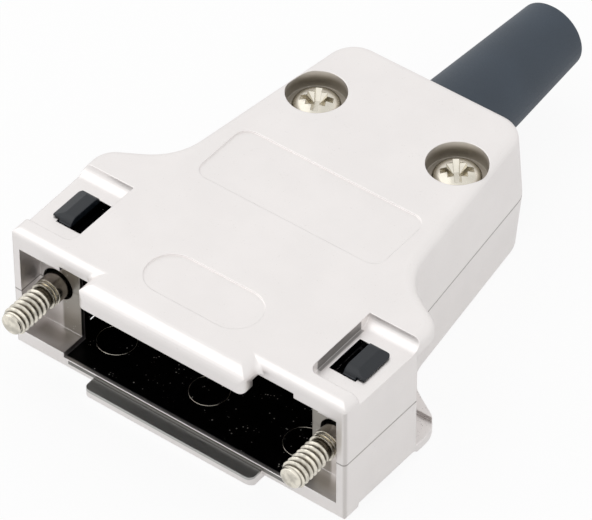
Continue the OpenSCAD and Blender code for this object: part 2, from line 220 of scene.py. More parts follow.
def ramp(tree, value, low, high, to_low=0.0, to_high=1.0, smooth=True):
    """Takes value from the range low..high to to_low..to_high."""
    node = tree.nodes.new("ShaderNodeMapRange")
    node.interpolation_type = "SMOOTHSTEP" if smooth else "LINEAR"
    for target, given in zip(node.inputs, (value, low, high, to_low, to_high)):
        if isinstance(given, bpy.types.NodeSocket):
            tree.links.new(given, target)
        else:
            target.default_value = given
    return node.outputs[0]


def blend_colour(tree, factor, first, second):
    """Goes from the first colour to the second as factor goes from 0 to 1."""
    node = tree.nodes.new("ShaderNodeMix")
    node.data_type = "RGBA"
    for name, value in (("Factor", factor), ("A", first), ("B", second)):
        target = next(s for s in node.inputs if s.name == name and s.enabled)
        if isinstance(value, bpy.types.NodeSocket):
            tree.links.new(value, target)
        elif name == "Factor":
            target.default_value = value
        else:
            target.default_value = (*value, 1.0)
    return next(s for s in node.outputs if s.enabled)


def object_place(tree):
    """The X, Y and Z of a point in Object coordinates."""
    coordinates = add(tree, "ShaderNodeTexCoord")
    return add(tree, "ShaderNodeSeparateXYZ", Vector=coordinates.outputs["Object"])


def distance_2d(tree, first, second):
    """Length of the vector whose two parts are given."""
    squares = [calc(tree, "POWER", part, 2.0) for part in (first, second)]
    return calc(tree, "SQRT", calc(tree, "ADD", *squares))


def new_group(name, kind, inputs, outputs):
    """Starts a node group. Inputs and outputs are (name, socket type, default) and (name, type)."""
    tree = bpy.data.node_groups.new(name, kind)
    for label, sort, default in inputs:
        made = tree.interface.new_socket(label, in_out="INPUT", socket_type=sort)
        if default is not None:
            made.default_value = default
    for label, sort in outputs:
        tree.interface.new_socket(label, in_out="OUTPUT", socket_type=sort)
    return tree, tree.nodes.new("NodeGroupInput").outputs, tree.nodes.new("NodeGroupOutput")


# ---- shared effects ---------------------------------------------------------------------


def cast_grain_group():
    """Fine blasted grain and slow mottling, in Object coordinates."""
    tree, given, out = new_group(
        "CastGrain",
        "ShaderNodeTree",
        [
            ("Grain Size", "NodeSocketFloat", 0.16 * MM),
            ("Mottle Size", "NodeSocketFloat", 4 * MM),
        ],
        [("Height", "NodeSocketFloat"), ("Mottle", "NodeSocketFloat")],
    )
    place = add(tree, "ShaderNodeTexCoord").outputs["Object"]
    fine = add(
        tree,
        "ShaderNodeTexNoise",
        Vector=place,
        Scale=calc(tree, "DIVIDE", 1.0, given["Grain Size"]),
        Detail=3.0,
        Roughness=0.6,
    )
    slow = add(
        tree,
        "ShaderNodeTexNoise",
        Vector=place,
        Scale=calc(tree, "DIVIDE", 1.0, given["Mottle Size"]),
        Detail=2.0,
    )
    tree.links.new(fine.outputs[0], out.inputs["Height"])
    tree.links.new(slow.outputs[0], out.inputs["Mottle"])
    return tree


def painted_edge_shading_group():
    """A mask that is 1 on the edges of a piece, convex and concave, where highlights and shade are
    painted.
    """
    tree, given, out = new_group(
        "PaintedEdgeShading",
        "ShaderNodeTree",
        [("Radius", "NodeSocketFloat", 0.15 * MM), ("Contrast", "NodeSocketFloat", 6.0)],
        [("Mask", "NodeSocketFloat")],
    )
    bevel = add(tree, "ShaderNodeBevel", {"samples": 6}, Radius=given["Radius"])
    face = add(tree, "ShaderNodeNewGeometry").outputs["Normal"]
    dot = tree.nodes.new("ShaderNodeVectorMath")
    dot.operation = "DOT_PRODUCT"
    tree.links.new(bevel.outputs[0], dot.inputs[0])
    tree.links.new(face, dot.inputs[1])
    turned = calc(tree, "SUBTRACT", 1.0, dot.outputs["Value"])
    mask = calc(tree, "MULTIPLY", turned, given["Contrast"], clamp=True)
    tree.links.new(mask, out.inputs["Mask"])
    return tree


def box_group():
    """A mask that is 1 inside a box whose X range holds on both sides of the middle plane."""
    tree, given, out = new_group(
        "BoxMask",
        "ShaderNodeTree",
        [
            ("Low", "NodeSocketVector", None),
            ("High", "NodeSocketVector", None),
            ("Softness", "NodeSocketFloat", 0.3 * MM),
        ],
        [("Mask", "NodeSocketFloat")],
    )
    place = object_place(tree)
    low = add(tree, "ShaderNodeSeparateXYZ", Vector=given["Low"])
    high = add(tree, "ShaderNodeSeparateXYZ", Vector=given["High"])
    mask = 1.0
    for axis in "XYZ":
        spot = place.outputs[axis]
        if axis == "X":
            spot = calc(tree, "ABSOLUTE", spot)
        for distance in (
            calc(tree, "SUBTRACT", spot, low.outputs[axis]),
            calc(tree, "SUBTRACT", high.outputs[axis], spot),
        ):
            mask = calc(tree, "MULTIPLY", mask, ramp(tree, distance, 0.0, given["Softness"]))
    tree.links.new(mask, out.inputs["Mask"])
    return tree


def speck_group():
    """A mask of small scattered pits, denser where a slow noise is high."""
    tree, given, out = new_group(
        "Specks",
        "ShaderNodeTree",
        [("Spacing", "NodeSocketFloat", 0.35 * MM), ("Share", "NodeSocketFloat", 0.5)],
        [("Mask", "NodeSocketFloat")],
    )
    place = add(tree, "ShaderNodeTexCoord").outputs["Object"]
    scale = calc(tree, "DIVIDE", 1.0, given["Spacing"])
    cells = add(tree, "ShaderNodeTexVoronoi", Vector=place, Scale=scale)
    dot = ramp(tree, cells.outputs["Distance"], 0.12, 0.26, 1.0, 0.0)
    slow = add(
        tree,
        "ShaderNodeTexNoise",
        Vector=place,
        Scale=calc(tree, "DIVIDE", 0.3, given["Spacing"]),
        Detail=2.0,
    )
    level = calc(tree, "SUBTRACT", 1.0, given["Share"])
    dense = ramp(tree, slow.outputs[0], level, calc(tree, "ADD", level, 0.1))
    tree.links.new(calc(tree, "MULTIPLY", dot, dense), out.inputs["Mask"])
    return tree


GROUPS = {}


def group_node(tree, name, **inputs):
    """Places a shared effect, which is built the first time that it is asked for."""
    makers = {
        "CastGrain": cast_grain_group,
        "PaintedEdgeShading": painted_edge_shading_group,
        "BoxMask": box_group,
        "Specks": speck_group,
    }
    if name not in GROUPS:
        GROUPS[name] = makers[name]()
    node = tree.nodes.new("ShaderNodeGroup")
    node.node_tree = GROUPS[name]
    for label, value in inputs.items():
        socket(node, label.replace("_", " "), value)
    return node


# ---- materials --------------------------------------------------------------------------


def screw_spacing():
    """Distance between the axes of the two jackscrews."""
    left, right = (sum(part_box("jackscrew_" + side), Vector()) / 2 for side in ("left", "right"))
    return right.x - left.x


def new_material(name):
    """Starts a material: the material, its tree and its shader."""
    material = bpy.data.materials.new(name)
    material.use_nodes = True
    tree = material.node_tree
    return material, tree, tree.nodes["Principled BSDF"]


def rounded_bump(tree, shader, height, strength, distance, radius):
    """Gives a shader rounded edges with a fine relief on top."""
    bevel = add(tree, "ShaderNodeBevel", {"samples": 6}, Radius=radius)
    bump = add(tree, "ShaderNodeBump", Strength=strength, Distance=distance, Height=height)
    tree.links.new(bevel.outputs[0], bump.inputs["Normal"])
    tree.links.new(bump.outputs[0], shader.inputs["Normal"])


def box_mask(tree, low, high, softness=0.3):
    """The mask of a box given in millimetres."""
    node = group_node(tree, "BoxMask", Softness=softness * MM)
    node.inputs["Low"].default_value = [v * MM for v in low]
    node.inputs["High"].default_value = [v * MM for v in high]
    return node.outputs["Mask"]


# The rooms of the castings, where shade is painted into the colour, in millimetres, each as low corner,
# high corner, softness and colour.
# Rooms and patches are the same on both sides of the middle plane.
SHADED_ROOMS = {
    "ear_floors": ((13.95, 0.1, -6.6), (18.95, 3.2, -1.0), 1.4, (0.42, 0.39, 0.36)),
    "ear_walls": ((13.95, 0.1, -3.0), (18.95, 3.2, 6.6), 1.4, (0.075, 0.065, 0.055)),
    "ear_fronts": ((13.60, 2.4, -5.6), (16.3, 3.3, 5.6), 0.35, (0.33, 0.31, 0.28)),
    "mouth": ((-1.00, 0.25, -6.7), (14.0, 9.6, 6.7), 0.25, (0.012, 0.012, 0.013)),
    "tail": ((-1.00, 8.5, -5.3), (10.0, 38.0, 5.3), 0.50, (0.05, 0.05, 0.05)),
    "mouth_corners": ((8.60, 0.0, -6.3), (15.0, 3.6, -5.7), 1.4, (0.26, 0.25, 0.23)),
    "latch_rooms": ((13.70, 3.30, -6.42), (18.9, 9.3, 6.42), 0.05, (0.008, 0.008, 0.009)),
}

# The patches of the castings, with painted shade in all but the ear plates, which get dark pits: low
# corner, high corner, softness, strength and colour.
SHADE_AND_PIT_PATCHES = {
    "parting_line": ((-1, -3, -0.13), (30, 60, 0.13), 0.10, 0.72, (0.16, 0.145, 0.13)),
    "ear_plates": ((13.9, 11.0, -7.0), (19.75, 17.4, 7.0), 0.30, 0.5, (0.20, 0.18, 0.17)),
    "pocket_walls": ((13.8, 3.4, 6.42), (14.5, 10.2, 7.55), 0.12, 0.8, (0.17, 0.16, 0.155)),
    "ledge_top": ((-1, -2.4, -6.75), (10.6, -0.12, -6.1), 0.16, 0.85, (0.42, 0.425, 0.41)),
    "mouth_sill": ((-1, -0.3, -6.6), (13.4, 0.2, -6.09), 0.06, 0.8, (0.10, 0.10, 0.09)),
    "front_uprights": ((19.45, -0.3, -7.2), (20.2, 0.45, 6.9), 0.25, 0.35, (0.25, 0.22, 0.2)),
}
PITTED_PATCHES = ("ear_plates",)


def bore_shade(tree, colour):
    """Paints shade on the walls of the two counterbores, darker towards their floors."""
    low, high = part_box("shell_screw_right")
    centre = (low + high) / 2
    place = object_place(tree)
    across = calc(tree, "SUBTRACT", calc(tree, "ABSOLUTE", place.outputs["X"]), centre.x)
    along = calc(tree, "SUBTRACT", place.outputs["Y"], centre.y)
    radius = distance_2d(tree, across, along)
    near = ramp(tree, radius, 3.15 * MM, 3.3 * MM, 1.0, 0.0)
    deep = ramp(tree, place.outputs["Z"], high.z + 0.15 * MM, high.z - 0.8 * MM)
    upper = ramp(tree, place.outputs["Z"], high.z - 2.7 * MM, high.z - 2.1 * MM)
    mask = calc(tree, "MULTIPLY", near, calc(tree, "MULTIPLY", deep, upper))
    return blend_colour(tree, calc(tree, "MULTIPLY", mask, 0.85), colour, (0.36, 0.33, 0.28))


def cast_nickel(finish):
    """Satin nickel over a zinc casting: pale grey, fine grain and pits, a painted highlight on the
    edges, and painted shade along the seam, in patches, in the counterbores and in the rooms.
    """
    material, tree, shader = new_material("cast_nickel")
    pale = tuple(finish.cast_colour)
    grain = group_node(tree, "CastGrain", Grain_Size=0.14 * MM, Mottle_Size=5 * MM)
    edge_shading = group_node(tree, "PaintedEdgeShading", Radius=finish.edge_radius, Contrast=5.0)
    mottle = ramp(tree, grain.outputs["Mottle"], 0.3, 0.7)
    dim, lit = (tuple(c * share for c in pale) for share in (0.985, 1.01))
    colour = blend_colour(tree, mottle, dim, lit)
    # Painted highlight along the edges.
    colour = blend_colour(tree, edge_shading.outputs["Mask"], colour, tuple(c * 1.06 for c in pale))
    specks = group_node(tree, "Specks", Spacing=0.3 * MM, Share=0.44).outputs["Mask"]
    colour = blend_colour(tree, calc(tree, "MULTIPLY", specks, 0.12), colour, (0.35, 0.33, 0.30))
    # Painted shade in the patches, and dark pits on the ear plates.
    for name, (low, high, softness, strength, tone) in SHADE_AND_PIT_PATCHES.items():
        mask = box_mask(tree, low, high, softness)
        if name in PITTED_PATCHES:
            pits = group_node(tree, "Specks", Spacing=0.28 * MM, Share=0.62)
            mask = calc(tree, "MULTIPLY", mask, pits.outputs["Mask"])
        colour = blend_colour(tree, calc(tree, "MULTIPLY", mask, strength), colour, tone)
    # Painted shade on the counterbore walls.
    colour = bore_shade(tree, colour)
    # Painted shade in the rooms: near black in the mouth, tail and latch rooms, grey on the ear floors
    # and fronts; black holds its mask.
    black = 0.0
    for low, high, softness, tone in SHADED_ROOMS.values():
        mask = box_mask(tree, low, high, softness)
        colour = blend_colour(tree, mask, colour, tone)
        black = calc(tree, "MAXIMUM", black, mask)
    # Pale, non-metallic specks scattered over the rooms with painted shade.
    room_specks = group_node(tree, "Specks", Spacing=0.36 * MM, Share=0.47).outputs["Mask"]
    room_speck_mask = calc(tree, "MULTIPLY", room_specks, black)
    colour = blend_colour(tree, room_speck_mask, colour, (0.50, 0.49, 0.46))
    tree.links.new(colour, shader.inputs["Base Color"])
    tree.links.new(calc(tree, "SUBTRACT", 1.0, room_speck_mask), shader.inputs["Metallic"])
    rough = ramp(tree, grain.outputs["Height"], 0.3, 0.7, 0.36, 0.46)
    rough = ramp(tree, black, 0.0, 1.0, rough, 0.3)
    tree.links.new(rough, shader.inputs["Roughness"])
    height = calc(tree, "SUBTRACT", grain.outputs["Height"], calc(tree, "MULTIPLY", specks, 0.6))
    rounded_bump(tree, shader, height, 0.3, 0.02 * MM, finish.edge_radius)
    return material


def threaded_nickel(finish):
    """Bright nickel on the jackscrews: polished crests, and painted shade in the valleys and neck, over
    the barrel and head, and near black on the stretch inside the ear.
    """
    material, tree, shader = new_material("threaded_nickel")
    warm = tuple(finish.screw_colour)
    grain = group_node(tree, "CastGrain", Grain_Size=0.3 * MM, Mottle_Size=0.9 * MM)
    place = object_place(tree)
    across = calc(tree, "SUBTRACT", calc(tree, "ABSOLUTE", place.outputs["X"]), screw_spacing() / 2)
    radius = distance_2d(tree, across, place.outputs["Z"])
    along = place.outputs["Y"]
    mottle = ramp(tree, grain.outputs["Mottle"], 0.3, 0.7)
    dim, lit = (tuple(min(c * share, 1) for c in warm) for share in (0.72, 1.15))
    crest = blend_colour(tree, mottle, dim, lit)
    # Painted shade in the thread valleys and the neck.
    valley_shade = calc(tree, "MULTIPLY", ramp(tree, radius, 1.15 * MM, 1.27 * MM, 1.0, 0.0),
                  ramp(tree, along, -4.1 * MM, -3.9 * MM))
    colour = blend_colour(tree, valley_shade, crest, (0.12, 0.105, 0.08))
    # Painted shade over the barrel and the head.
    barrel = ramp(tree, along, 1.38 * MM, 1.5 * MM)
    colour = blend_colour(tree, barrel, colour, (0.30, 0.27, 0.235))
    # Near black painted shade on the stretch between the front wall and the head.
    past_wall = ramp(tree, along, 3.0 * MM, 3.6 * MM)
    before_head = ramp(tree, along, 10.4 * MM, 10.8 * MM, 1.0, 0.0)
    shaded_stretch = calc(tree, "MULTIPLY", past_wall, before_head)
    colour = blend_colour(tree, shaded_stretch, colour, (0.015, 0.015, 0.015))
    tree.links.new(colour, shader.inputs["Base Color"])
    shader.inputs["Metallic"].default_value = 1.0
    rough = ramp(tree, grain.outputs["Height"], 0.3, 0.7, 0.14, 0.26)
    tree.links.new(rough, shader.inputs["Roughness"])
    rounded_bump(tree, shader, grain.outputs["Height"], 0.2, 0.01 * MM, 0.05 * MM)
    return material


def bright_nickel(finish, name="bright_nickel", radius=0.06 * MM):
    """Bright nickel on turned steel, slightly warm, with painted shade along its edges and creases."""
    material, tree, shader = new_material(name)
    warm = tuple(finish.screw_colour)
    grain = group_node(tree, "CastGrain", Grain_Size=0.3 * MM, Mottle_Size=1.5 * MM)
    edge_shading = group_node(tree, "PaintedEdgeShading", Radius=radius, Contrast=4.0)
    mottle = ramp(tree, grain.outputs["Mottle"], 0.25, 0.75)
    colour = blend_colour(tree, mottle, tuple(c * 0.85 for c in warm), warm)
    # Painted shade along the edges and in the creases of the recesses.
    crease_shade = calc(tree, "MULTIPLY", edge_shading.outputs["Mask"], 0.85)
    colour = blend_colour(tree, crease_shade, colour, (0.13, 0.115, 0.09))
    tree.links.new(colour, shader.inputs["Base Color"])
    shader.inputs["Metallic"].default_value = 1.0
    rough = ramp(tree, grain.outputs["Height"], 0.3, 0.7, 0.16, 0.28)
    tree.links.new(rough, shader.inputs["Roughness"])
    rounded_bump(tree, shader, grain.outputs["Height"], 0.1, 0.01 * MM, radius)
    return material


def black_nylon(finish):
    """Moulded satin black nylon with a faint painted highlight on its edges, and near black painted
    shade where it stands in the window.
    """
    material, tree, shader = new_material("black_nylon")
    base = tuple(finish.nylon_colour)
    grain = group_node(tree, "CastGrain", Grain_Size=0.09 * MM, Mottle_Size=2 * MM)
    edge_shading = group_node(tree, "PaintedEdgeShading", Radius=0.16 * MM, Contrast=3.0)
    # Painted highlight along the edges.
    colour = blend_colour(tree, edge_shading.outputs["Mask"], base, tuple(c * 2.5 for c in base))
    # Near black painted shade, as a black metal, where the latch stands in the window.
    inside = box_mask(tree, (10, 0, -6.4), (20, 12, 6.4), 0.08)
    colour = blend_colour(tree, inside, colour, (0.002, 0.002, 0.0025))
    tree.links.new(colour, shader.inputs["Base Color"])
    tree.links.new(inside, shader.inputs["Metallic"])
    rough = ramp(tree, grain.outputs["Height"], 0.3, 0.7, 0.34, 0.46)
    tree.links.new(rough, shader.inputs["Roughness"])
    rounded_bump(tree, shader, grain.outputs["Height"], 0.15, 0.01 * MM, 0.2 * MM)
    return material


def grey_rubber(finish):
    """Matt blue-grey rubber."""
    material, tree, shader = new_material("grey_rubber")
    base = tuple(finish.rubber_colour)
    grain = group_node(tree, "CastGrain", Grain_Size=0.12 * MM, Mottle_Size=6 * MM)
    mottle = ramp(tree, grain.outputs["Mottle"], 0.3, 0.7)
    colour = blend_colour(tree, mottle, tuple(c * 0.92 for c in base), tuple(c * 1.06 for c in base))
    tree.links.new(colour, shader.inputs["Base Color"])
    rough = ramp(tree, grain.outputs["Height"], 0.3, 0.7, 0.5, 0.62)
    tree.links.new(rough, shader.inputs["Roughness"])
    rounded_bump(tree, shader, grain.outputs["Height"], 0.2, 0.015 * MM, 0.2 * MM)
    return material


MATERIALS = {}


def material(name):
    """A finish by name, built the first time that it is asked for."""
    makers = {
        "cast_nickel": cast_nickel,
        "threaded_nickel": threaded_nickel,
        "bright_nickel": bright_nickel,
        "black_nylon": black_nylon,
        "grey_rubber": grey_rubber,
    }
    if name not in MATERIALS:
        MATERIALS[name] = makers[name](bpy.context.scene.hood_finish)
    return MATERIALS[name]


def paint_node(name, finish):
    """Gives a CAD node its finish."""
    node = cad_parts[name]
    node.data.materials.clear()
    node.data.materials.append(material(finish))


# ---- mesh helpers -----------------------------------------------------------------------


def new_piece(name, mesh, finish, body):
    """Makes an object of a mesh that moves with a body."""
    piece = bpy.data.objects.new(name, mesh)
    bpy.context.scene.collection.objects.link(piece)
    if not mesh.materials:
        mesh.materials.append(material(finish))
    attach(piece, body)
    return piece


def turned(bm, profile, sides):
    """Adds a closed turned solid about Y to bm. The profile is (y, radius) from end to end, and
    it starts and ends on the axis."""
    rings = []
    for y, r in profile:
        if r == 0:
            rings.append([bm.verts.new((0, y, 0))])
        else:
            angles = (math.tau * k / sides for k in range(sides))
            rings.append([bm.verts.new((r * math.cos(a), y, r * math.sin(a))) for a in angles])
    for low, high in zip(rings, rings[1:]):
        for k in range(sides):
            n = (k + 1) % sides
            corners = [low[k % len(low)], low[n % len(low)], high[n % len(high)], high[k % len(high)]]
            kept = [v for i, v in enumerate(corners) if v not in corners[:i]]
            if len(kept) > 2:
                bm.faces.new(kept)


def finished_mesh(name, bm, sharp=math.radians(30)):
    """Turns bm into a mesh whose faces point outwards and whose smooth faces are shaded smooth."""
    bmesh.ops.recalc_face_normals(bm, faces=bm.faces[:])
    mesh = bpy.data.meshes.new(name)
    bm.to_mesh(mesh)
    bm.free()
    mesh.shade_smooth()
    mesh.set_sharp_from_angle(angle=sharp)
    return mesh


def evaluated_mesh(piece, name):
    """The mesh of an object with its modifiers, as a plain mesh."""
    graph = bpy.context.evaluated_depsgraph_get()
    return bpy.data.meshes.new_from_object(piece.evaluated_get(graph), depsgraph=graph)


def boolean_cut(mesh, cutters, name):
    """Cuts each of the cutter meshes out of a mesh."""
    holder = bpy.data.objects.new(name, mesh)
    extras = [holder]
    bpy.context.scene.collection.objects.link(holder)
    for k, cutter in enumerate(cutters):
        tool = bpy.data.objects.new(f"{name}_cutter_{k}", cutter)
        bpy.context.scene.collection.objects.link(tool)
        extras.append(tool)
        cut = holder.modifiers.new(f"cut_{k}", "BOOLEAN")
        cut.operation = "DIFFERENCE"
        cut.object = tool
    result = evaluated_mesh(holder, name)
    for extra in extras:
        bpy.data.objects.remove(extra)
    return result


def tapered_block(top, bottom, depth, height, turn):
    """A block about Z whose half sides go from bottom to top, over depth, and then straight up."""
    bm = bmesh.new()
    rings = []
    for (half_x, half_y), z in ((bottom, -depth), (top, 0.0), (top, height)):
        corners = ((-half_x, -half_y), (half_x, -half_y), (half_x, half_y), (-half_x, half_y))
        rings.append([bm.verts.new((x * MM, y * MM, z * MM)) for x, y in corners])
    bm.faces.new(rings[0])
    bm.faces.new(rings[-1])
    for low, high in zip(rings, rings[1:]):
        for k in range(4):
            n = (k + 1) % 4
            bm.faces.new((low[k], low[n], high[n], high[k]))
    bmesh.ops.rotate(bm, verts=bm.verts[:], matrix=Matrix.Rotation(turn, 3, "Z"))
    return bm


# ---- rule-made pieces -------------------------------------------------------------------


def thread_tree(steel):
    """A solid threaded rod along Y, domed at its free end and closed at its root."""
    tree, given, out = new_group(
        "ThreadedRod",
        "GeometryNodeTree",
        [
            ("Length", "NodeSocketFloat", 4.8 * MM),
            ("Start", "NodeSocketFloat", -4.4 * MM),
            ("Outer Radius", "NodeSocketFloat", 1.42 * MM),
            ("Depth", "NodeSocketFloat", 0.3 * MM),
            ("Pitch", "NodeSocketFloat", 0.635 * MM),
            ("Dome", "NodeSocketFloat", 0.32 * MM),
            ("Ring Steps", "NodeSocketInt", 12),
            ("Round Steps", "NodeSocketInt", 64),
        ],
        [("Mesh", "NodeSocketGeometry")],
    )
    turns = calc(tree, "DIVIDE", given["Length"], given["Pitch"])
    rings = calc(tree, "CEIL", calc(tree, "MULTIPLY", turns, given["Ring Steps"]))
    grid = add(
        tree,
        "GeometryNodeMeshGrid",
        Size_X=1.0,
        Size_Y=1.0,
        Vertices_X=rings,
        Vertices_Y=calc(tree, "ADD", given["Round Steps"], 1.0),
    )
    position = add(tree, "GeometryNodeInputPosition")
    place = add(tree, "ShaderNodeSeparateXYZ", Vector=position.outputs[0])
    along_share = calc(tree, "ADD", place.outputs["X"], 0.5)
    turn_share = calc(tree, "ADD", place.outputs["Y"], 0.5)
    along = calc(tree, "MULTIPLY", along_share, given["Length"])
    angle = calc(tree, "MULTIPLY", turn_share, math.tau)
    turn = calc(tree, "ADD", calc(tree, "DIVIDE", along, given["Pitch"]), turn_share)
    phase = calc(tree, "FRACT", turn)
    tooth = calc(tree, "ABSOLUTE", calc(tree, "SUBTRACT", calc(tree, "MULTIPLY", phase, 2.0), 1.0))
    tooth = ramp(tree, tooth, 0.14, 0.86, smooth=False)
    # The thread fades in behind the dome and fades out at its root.
    fade_in = ramp(tree, along, given["Dome"], calc(tree, "MULTIPLY", given["Dome"], 2.2))
    left = calc(tree, "SUBTRACT", given["Length"], along)
    fade_out = ramp(tree, left, 0.0, given["Pitch"])
    height = calc(tree, "MULTIPLY", tooth, calc(tree, "MULTIPLY", fade_in, fade_out))
    root = calc(tree, "SUBTRACT", given["Outer Radius"], given["Depth"])
    radius = calc(tree, "ADD", root, calc(tree, "MULTIPLY", height, given["Depth"]))
    # The radius closes along a quarter ellipse at the tip, and at once at the root.
    short = calc(tree, "SUBTRACT", 1.0, calc(tree, "DIVIDE", along, given["Dome"]), clamp=True)
    dome = calc(tree, "SQRT", calc(tree, "SUBTRACT", 1.0, calc(tree, "POWER", short, 3.6), clamp=True))
    closed = calc(tree, "LESS_THAN", along_share, 0.9995)
    radius = calc(tree, "MULTIPLY", radius, calc(tree, "MULTIPLY", dome, closed))
    spot = add(
        tree,
        "ShaderNodeCombineXYZ",
        X=calc(tree, "MULTIPLY", radius, calc(tree, "COSINE", angle)),
        Y=calc(tree, "ADD", given["Start"], along),
        Z=calc(tree, "MULTIPLY", radius, calc(tree, "SINE", angle)),
    )
    moved = add(tree, "GeometryNodeSetPosition", Geometry=grid.outputs["Mesh"], Position=spot.outputs[0])
    welded = add(tree, "GeometryNodeMergeByDistance", Geometry=moved.outputs[0], Distance=0.0005 * MM)
    real = add(tree, "GeometryNodeRealizeInstances", Geometry=welded.outputs[0])
    painted = add(tree, "GeometryNodeSetMaterial", Geometry=real.outputs[0], Material=steel)
    tree.links.new(painted.outputs[0], out.inputs["Mesh"])
    return tree


def ejector_tree(nickel):
    """A row of round ridges, as ejector pins leave them on a moulded or cast floor."""
    tree, given, out = new_group(
        "EjectorMarks",
        "GeometryNodeTree",
        [
            ("Count", "NodeSocketInt", 3),
            ("First", "NodeSocketVector", None),
            ("Step", "NodeSocketVector", None),
            ("Radius", "NodeSocketFloat", 2 * MM),
            ("Ridge", "NodeSocketFloat", 0.04 * MM),
        ],
        [("Mesh", "NodeSocketGeometry")],
    )
    line = add(
        tree,
        "GeometryNodeMeshLine",
        {"mode": "OFFSET"},
        Count=given["Count"],
        Start_Location=given["First"],
        Offset=given["Step"],
    )
    ring = add(tree, "GeometryNodeCurvePrimitiveCircle", Resolution=48, Radius=given["Radius"])
    wire = add(tree, "GeometryNodeCurvePrimitiveCircle", Resolution=8, Radius=given["Ridge"])
    mark = add(
        tree,
        "GeometryNodeCurveToMesh",
        Curve=ring.outputs["Curve"],
        Profile_Curve=wire.outputs["Curve"],
    )
    placed = add(
        tree,
        "GeometryNodeInstanceOnPoints",
        Points=line.outputs["Mesh"],
        Instance=mark.outputs["Mesh"],
    )
    real = add(tree, "GeometryNodeRealizeInstances", Geometry=placed.outputs[0])
    painted = add(tree, "GeometryNodeSetMaterial", Geometry=real.outputs[0], Material=nickel)
    tree.links.new(painted.outputs[0], out.inputs["Mesh"])
    return tree


def set_input(modifier, name, value):
    """Sets an input of a Geometry Nodes modifier by its name."""
    sockets = modifier.node_group.interface.items_tree
    item = next(i for i in sockets if i.name == name and i.in_out == "INPUT")
    modifier[item.identifier] = value


def run_tree(tree, values, name):
    """Runs a Geometry Nodes tree once and returns its result as a plain mesh."""
    holder = bpy.data.objects.new(name, bpy.data.meshes.new(name))
    bpy.context.scene.collection.objects.link(holder)
    modifier = holder.modifiers.new(name, "NODES")
    modifier.node_group = tree
    for label, value in values.items():
        set_input(modifier, label, value)
    mesh = evaluated_mesh(holder, name)
    bpy.data.objects.remove(holder)
    return mesh


# ---- operators --------------------------------------------------------------------------


class HOOD_OT_castings(bpy.types.Operator):
    """Finishes the two die-cast shells."""

    bl_idname = "hood.castings"
    bl_label = "Castings"

    def execute(self, context):
        for name in ("upper_shell", "lower_shell"):
            paint_node(name, "cast_nickel")
        return {"FINISHED"}


# Behind the thread, as (y, radius) in millimetres: the neck, three rings and the barrel with the
# groove that the latch sits in, up to the seat of the slotted head.
BARREL_PROFILE = (
    (0.1, 0), (0.1, 1.05), (0.55, 1.05), (0.6, 1.42), (0.74, 1.42), (0.8, 1.22),
    (0.92, 1.22), (0.98, 1.42), (1.12, 1.42), (1.18, 1.25), (1.3, 1.25), (1.38, 1.45),
    (4.3, 1.45), (4.3, 1.05), (9.06, 1.05), (9.06, 1.45), (11.1, 1.45),
)
HEAD_SEAT = BARREL_PROFILE[-1][0] * MM
HEAD_BREAK = 0.15 * MM
SLOT_SIZE = (6 * MM, 1.2 * MM, 0.6 * MM)


def barrel_mesh(head_y, head_r, sides):
    """The turned rear of a jackscrew about Y, with the slot cut in its head."""
    profile = [(y * MM, r * MM) for y, r in BARREL_PROFILE]
    profile += [
        (HEAD_SEAT, head_r - 0.1 * MM),
        (HEAD_SEAT + 0.05 * MM, head_r),
        (head_y - HEAD_BREAK, head_r),
        (head_y, head_r - HEAD_BREAK),
        (head_y, 0),
    ]
    bm = bmesh.new()
    turned(bm, profile, sides)
    slot = bmesh.new()
    bmesh.ops.create_cube(slot, size=1)
    bmesh.ops.scale(slot, vec=SLOT_SIZE, verts=slot.verts[:])
    bmesh.ops.translate(slot, vec=(0, head_y, 0), verts=slot.verts[:])
    return boolean_cut(finished_mesh("rear", bm), [finished_mesh("slot", slot)], "rear")


class HOOD_OT_jackscrews(bpy.types.Operator):
    """Makes the two jackscrews with their rolled threads, rings and slotted heads."""

    bl_idname = "hood.jackscrews"
    bl_label = "Jackscrews"

    def execute(self, context):
        sizes = context.scene.hood_screws
        tree = thread_tree(material("threaded_nickel"))
        for side in ("left", "right"):
            node = "jackscrew_" + side
            low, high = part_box(node)
            centre = (low + high) / 2
            values = {
                "Length": sizes.thread_length,
                "Start": low.y,
                "Outer Radius": sizes.thread_radius,
                "Depth": sizes.thread_depth,
                "Pitch": sizes.pitch,
                "Ring Steps": sizes.ring_steps,
                "Round Steps": sizes.round_steps,
            }
            whole = bmesh.new()
            whole.from_mesh(run_tree(tree, values, "thread_" + side))
            bmesh.ops.recalc_face_normals(whole, faces=whole.faces[:])
            whole.from_mesh(barrel_mesh(high.y, (high.x - low.x) / 2, sizes.round_steps))
            bmesh.ops.translate(whole, vec=(centre.x, 0, centre.z), verts=whole.verts[:])
            mesh = bpy.data.meshes.new("threaded_" + node)
            whole.to_mesh(mesh)
            whole.free()
            for face in mesh.polygons:
                face.material_index = 0
            mesh.shade_smooth()
            mesh.set_sharp_from_angle(angle=math.radians(38))
            piece = new_piece("threaded_" + node, mesh, "threaded_nickel", node)
            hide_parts(node)
        return {"FINISHED"}


# The shank of a closing screw, as (height over its end, radius), and its domed head, as
# (height over its seat, radius), in millimetres.
SHANK_PROFILE = ((0, 0), (0, 0.95), (0.3, 1.25))
SEAT_DEPTH = 1.75
HEAD_PROFILE = (
    (0, 1.25), (0, 2.3), (0.08, 2.42), (0.3, 2.46), (0.52, 2.38), (0.74, 2.18), (0.94, 1.9),
    (1.1, 1.55), (1.2, 1.15), (1.27, 0.7), (1.3, 0),
)
